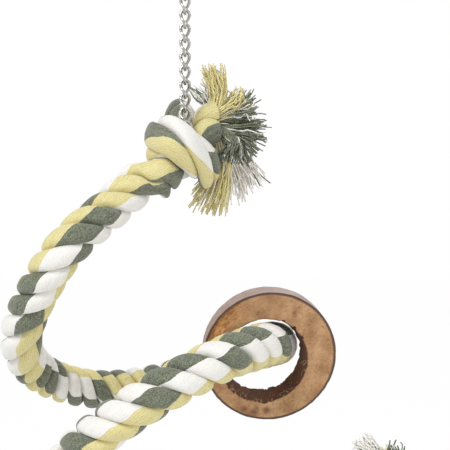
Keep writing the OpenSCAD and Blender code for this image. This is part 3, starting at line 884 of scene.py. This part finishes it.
wood = spun_section("branch_slice", 21)
count = len(wood.data.vertices)
own_place = np.zeros((count, 3))
masks = {"wall": np.zeros(count), "torn": np.zeros(count), "rim": np.zeros(count)}
for n, v in enumerate(wood.data.vertices):
    share = section_share(v.co)
    angle = math.atan2(v.co.y, v.co.x)
    turn_deg = math.degrees(angle)
    height = v.co.z
    x, y = between_rims(share, angle, height)
    on_front = height > ON_FACE * RING_T / 2
    on_back = height < -ON_FACE * RING_T / 2
    in_hole = share < 0.001
    splinter = 0.25 + 0.75 * max(near_angle(turn_deg, *place) for place in SPLINTERED)
    depth = 0.0
    if on_front or on_back:
        depth = WOOD_ROUGH * rough(x, y, 3, 900)
        edge = max(0.0, 1 - share / BROKEN)
        depth -= EDGE_FALL * splinter * edge * abs(rough(x, y, 9, 700))
        if on_front:
            torn = near_angle(turn_deg, *TORN) * min(1.0, max(0.0, (share - 0.30) / 0.20))
            torn *= 1.1 + 1.6 * rough(x * 0.5 + y * 0.8, (x - y) * 2, 1, 300)
            torn = min(1.0, max(0.0, torn))
            streak = rough(x * 0.35 + y * 0.9, (x - y) * 3, 5, 420)
            depth -= min(1.0, torn * 1.5) * (FLAKE_DEPTH + FLAKE_STREAKS * abs(streak))
            masks["torn"][n] = min(1.0, torn * 1.4)
        masks["rim"][n] = max(0.0, (share - RIM_FROM) / (1 - RIM_FROM))
    if in_hole or (share < BROKEN and (on_front or on_back)):
        notches = rough(math.cos(angle) * 0.02, math.sin(angle) * 0.02, height * 0.3, 330, 5)
        ragged = NOTCH_DEPTH * splinter * max(0.0, notches)
        fall = 1.0 if in_hole else 1 - share / BROKEN
        near_face = (abs(height) / (RING_T / 2)) ** 3
        push = fall * (ragged * near_face + WOOD_ROUGH * abs(rough(x, y, height * 0.4, 800)))
        x += push * math.cos(angle)
        y += push * math.sin(angle)
    if in_hole:
        masks["wall"][n] = 1.0
    z = height + (depth if on_front else -depth)
    own_place[n] = (x, y, z)
    v.co = slice_place @ Vector((x, y, z))
store(wood.data, own_place, masks)


def add_attribute(nodes, name, output="Fac"):
    node = nodes.new("ShaderNodeAttribute")
    node.attribute_name = name
    return node.outputs[output]


# Wood fibre as colour and height: broad clouds, fine fibres and small dark pores
grain, g_in, g_out = new_group(
    "wood_fibres",
    [("Place", "NodeSocketVector"), ("Pale", "NodeSocketColor"), ("Middle", "NodeSocketColor"),
     ("Dark", "NodeSocketColor")],
    [("Colour", "NodeSocketColor"), ("Height", "NodeSocketFloat")],
)
gn, gl = grain.nodes, grain.links
clouds = add_noise(gn, gl, g_in["Place"], 130, 4, 0.6)
fibre = add_noise(gn, gl, g_in["Place"], 1900, 3, 0.7)
pores = add_noise(gn, gl, g_in["Place"], 700, 2, 0.5)
shade = add_math(gn, gl, "MULTIPLY_ADD", fibre, 0.38, add_math(gn, gl, "MULTIPLY", clouds, 0.62))
tone = add_mix(gn, gl, add_between(gn, gl, shade, 0.38, 0.62), g_in["Middle"], g_in["Pale"])
pore = add_between(gn, gl, pores, 0.56, 0.80)
gl.new(add_mix(gn, gl, add_math(gn, gl, "MULTIPLY", pore, 0.55), tone, g_in["Dark"]), g_out["Colour"])
gl.new(add_math(gn, gl, "SUBTRACT", fibre, add_math(gn, gl, "MULTIPLY", pore, 0.6)), g_out["Height"])

sawn_wood, wn, wl, wood_shader = new_material("sawn_end_grain")
slice_here = add_attribute(wn, "slice", "Vector")
face = add_group(
    wn, wl, grain, Place=slice_here,
    Pale=(0.56, 0.34, 0.18), Middle=(0.31, 0.16, 0.073), Dark=(0.17, 0.08, 0.036))
wall = add_group(
    wn, wl, grain, Place=slice_here,
    Pale=(0.150, 0.070, 0.042), Middle=(0.095, 0.042, 0.026), Dark=(0.04, 0.02, 0.012))
drawn_out = wn.new("ShaderNodeVectorMath")
drawn_out.operation = "MULTIPLY"
wl.new(slice_here, drawn_out.inputs[0])
drawn_out.inputs[1].default_value = (1.5, 0.9, 1.0)
flakes = add_group(
    wn, wl, grain, Place=drawn_out.outputs[0],
    Pale=(0.86, 0.46, 0.18), Middle=(0.27, 0.10, 0.033), Dark=(0.08, 0.03, 0.012))
colour = add_mix(wn, wl, add_attribute(wn, "torn"), face["Colour"], flakes["Colour"])
# Scorched spots on the face, each with its place in the slice's frame and its size
SPOTS = (
    ((-0.0035, -0.0262, 0.006), 0.0042), ((-0.0085, -0.0245, 0.006), 0.0030),
    ((0.002, -0.0256, 0.006), 0.0034), ((0.014, 0.0235, 0.006), 0.0028),
)
for spot, size in SPOTS:
    reach = wn.new("ShaderNodeVectorMath")
    reach.operation = "DISTANCE"
    wl.new(slice_here, reach.inputs[0])
    reach.inputs[1].default_value = spot
    blur = add_noise(wn, wl, slice_here, 420, 3)
    far = add_math(wn, wl, "MULTIPLY_ADD", blur, size, reach.outputs["Value"])
    stain = add_math(wn, wl, "SUBTRACT", 1.0, add_between(wn, wl, far, size * 0.55, size * 1.35))
    colour = add_mix(wn, wl, add_math(wn, wl, "MULTIPLY", stain, 0.8), colour, (0.13, 0.055, 0.03))
rim_share = add_math(wn, wl, "MULTIPLY", add_attribute(wn, "rim"), 0.8)
colour = add_mix(wn, wl, rim_share, colour, (0.12, 0.065, 0.045))
colour = add_mix(wn, wl, add_attribute(wn, "wall"), colour, wall["Colour"])
wl.new(colour, wood_shader.inputs["Base Color"])
torn_share = add_math(wn, wl, "MULTIPLY", add_attribute(wn, "torn"), 3.0)
relief = add_math(wn, wl, "MULTIPLY", flakes["Height"], torn_share)
add_bump(wn, wl, wood_shader, add_math(wn, wl, "ADD", face["Height"], relief), 0.5, 0.0003)
wood_shader.inputs["Roughness"].default_value = 0.85
wood_shader.inputs["Specular IOR Level"].default_value = 0.25
wood.data.materials.append(sawn_wood)
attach(wood, "ring")
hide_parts("wood_ring")

# The bark
# Smooth, thin bark still on the branch slice, pinkish grey outside and dark at its sawn edges.
# Its edges are chipped here and there.
BARK_SWELL = 0.00016
BARK_CHIP = 0.0007
bark = spun_section("smooth_bark", 15)
count = len(bark.data.vertices)
own_place = np.zeros((count, 3))
edges = np.zeros(count)
for n, v in enumerate(bark.data.vertices):
    share = section_share(v.co)
    angle = math.atan2(v.co.y, v.co.x)
    height = v.co.z
    front = height / RING_T + 0.5
    way = np.array((math.cos(angle), math.sin(angle)))
    inner_r = RING_D / 2 - BARK_T - SLICE_TAPER * (1 - front) / 2
    swell = BARK_SWELL * rough(math.cos(angle) * 0.03, math.sin(angle) * 0.03, height, 160)
    place = HOLE_OFFSET * np.array(HOLE_WAY) + (inner_r + share * (BARK_T + swell)) * way
    chip = BARK_CHIP * max(0.0, rough(math.cos(angle) * 0.03, math.sin(angle) * 0.03, 4, 330, 4))
    near_edge = (abs(height) / (RING_T / 2)) ** 6
    z = height * (1 - near_edge * chip * share / (RING_T / 2))
    edges[n] = 1.0 if near_edge > 0.98 else 0.0
    own_place[n] = (*place, z)
    v.co = slice_place @ Vector(own_place[n])
store(bark.data, own_place, {"sawn": edges})
bark_skin, bn, bl, bark_shader = new_material("smooth_bark_skin")
bark_here = add_attribute(bn, "slice", "Vector")
skin = add_group(
    bn, bl, grain, Place=bark_here,
    Pale=(0.44, 0.33, 0.29), Middle=(0.31, 0.215, 0.18), Dark=(0.16, 0.095, 0.07))
colour = add_mix(bn, bl, add_attribute(bn, "sawn"), skin["Colour"], (0.095, 0.055, 0.04))
bl.new(colour, bark_shader.inputs["Base Color"])
add_bump(bn, bl, bark_shader, skin["Height"], 0.4, 0.0003)
bark_shader.inputs["Roughness"].default_value = 0.75
bark.data.materials.append(bark_skin)
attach(bark, "ring")
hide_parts("bark_rim")

# Splinters
# Fine pale fibres of wood left standing at the lower half of the hole, where it was broken out.
SPLINTERS = 70
SPLINTER_R = 0.00007
SPLINTER_L = (0.0012, 0.0026)
SPLINTER_ROOT = 0.0006
SPLINTER_BEND = 0.0005
# Parts of the hole's edge in degrees, of which each splinter falls in one
SPLINTER_SPANS = ((-150, -60), (-150, -60), (-60, 0), (-180, 0))
splinters = []
for n in range(SPLINTERS):
    angle = math.radians(rng.choice([rng.uniform(*span) for span in SPLINTER_SPANS]))
    height = RING_T / 2 - abs(rng.gauss(0, 0.0022))
    x, y = between_rims(0.0, angle, height)
    inwards = Vector((-math.cos(angle), -math.sin(angle), 1))
    lean = inwards * Vector((rng.uniform(0.2, 1), rng.uniform(0.2, 1), rng.uniform(0.1, 1)))
    lean += Vector([rng.uniform(-0.5, 0.5) for _ in range(3)])
    foot = Vector((x, y, height)) + SPLINTER_ROOT * Vector((math.cos(angle), math.sin(angle), 0))
    tip = foot + rng.uniform(*SPLINTER_L) * lean.normalized()
    bend = (foot + tip) / 2 + SPLINTER_BEND * Vector([rng.uniform(-1, 1) for _ in range(3)])
    splinters.append(one_yarn(*[np.array(slice_place @ q) for q in (foot, bend, tip)], SPLINTER_R))
mesh = tuft_mesh("hole_splinters", splinters)
piece = bpy.data.objects.new(mesh.name, mesh)
bpy.context.collection.objects.link(piece)
pale_fibre, fn, fl, fibre_shader = new_material("pale_wood_fibre")
fibre_colour = add_group(
    fn, fl, grain, Place=fn.new("ShaderNodeTexCoord").outputs["Object"],
    Pale=(0.62, 0.42, 0.26), Middle=(0.48, 0.29, 0.16), Dark=(0.25, 0.12, 0.06))
fl.new(fibre_colour["Colour"], fibre_shader.inputs["Base Color"])
fibre_shader.inputs["Roughness"].default_value = 0.8
mesh.materials.append(pale_fibre)
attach(piece, "ring")
